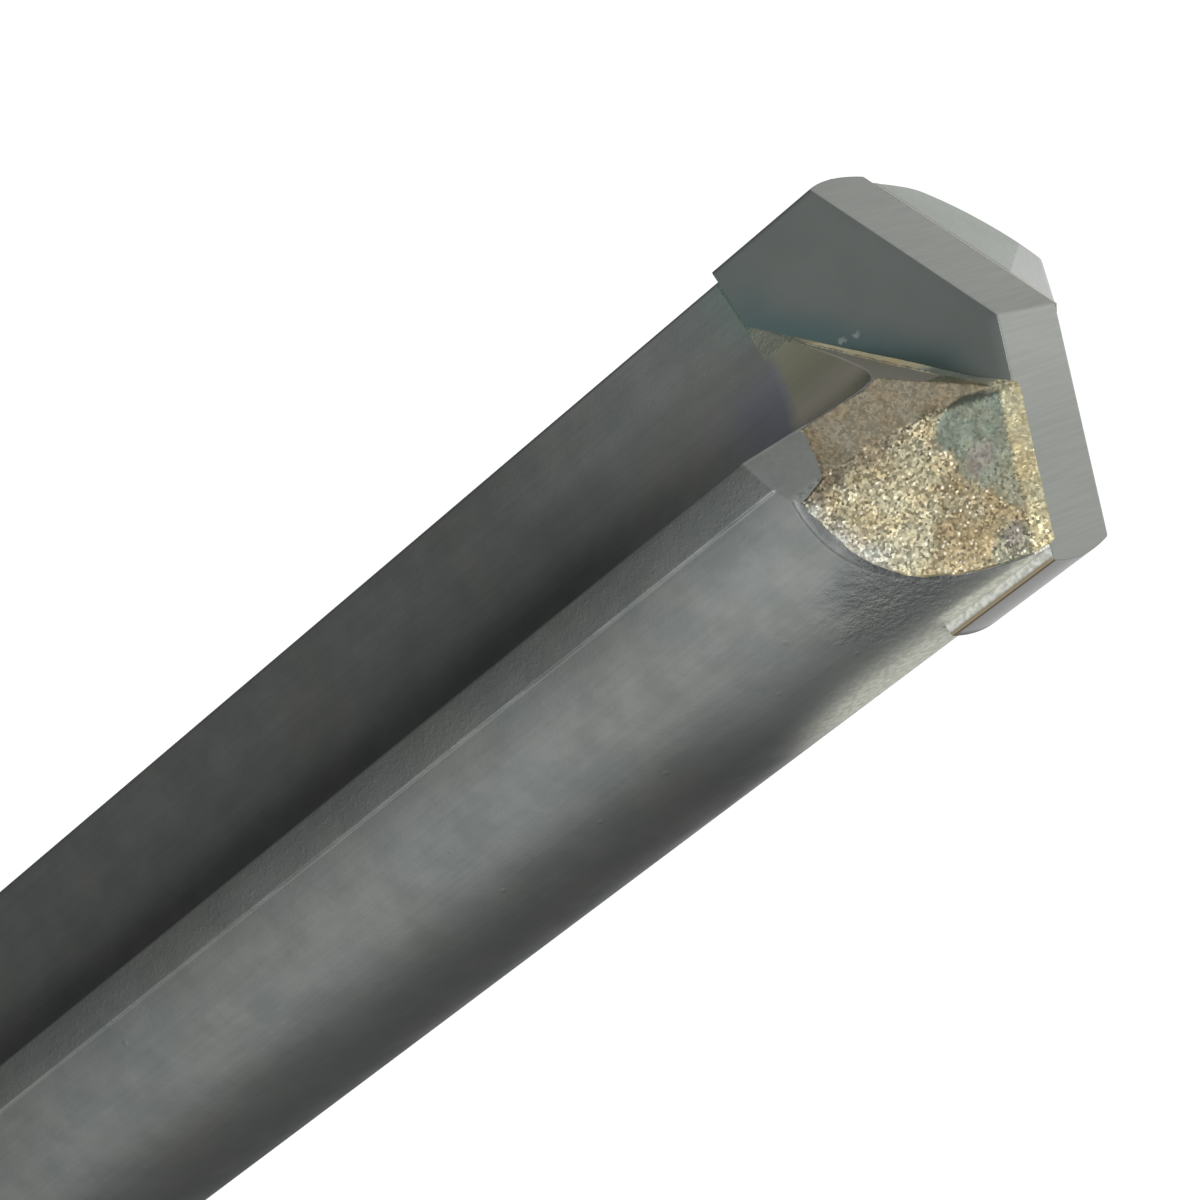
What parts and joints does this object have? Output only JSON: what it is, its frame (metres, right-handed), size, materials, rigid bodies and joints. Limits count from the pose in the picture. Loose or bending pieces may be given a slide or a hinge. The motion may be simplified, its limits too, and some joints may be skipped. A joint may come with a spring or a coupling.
{
  "type": "carbide-tipped drill bit",
  "caption": "Straight-fluted steel drill bit with a hard plate brazed across its roof-shaped point and a plain round shank.",
  "frame": {"origin": "centre of the flat end of the shank", "axes": "+Z along the bit's axis towards the tip; X along the width of the carbide plate; Y through its thickness"},
  "size_m": [0.01, 0.0096, 0.12],
  "materials": {
    "body_steel": "hardened steel, dark grey and dull, bright where it is ground",
    "carbide": "sintered carbide, dark and smooth on the rake faces, ground on the flanks",
    "braze": "rough, sparkling braze alloy"
  },
  "bodies": {
    "root": {"drill_body": "body_steel", "carbide_tip": "carbide", "braze_joint": "braze"}
  },
  "joints": []
}
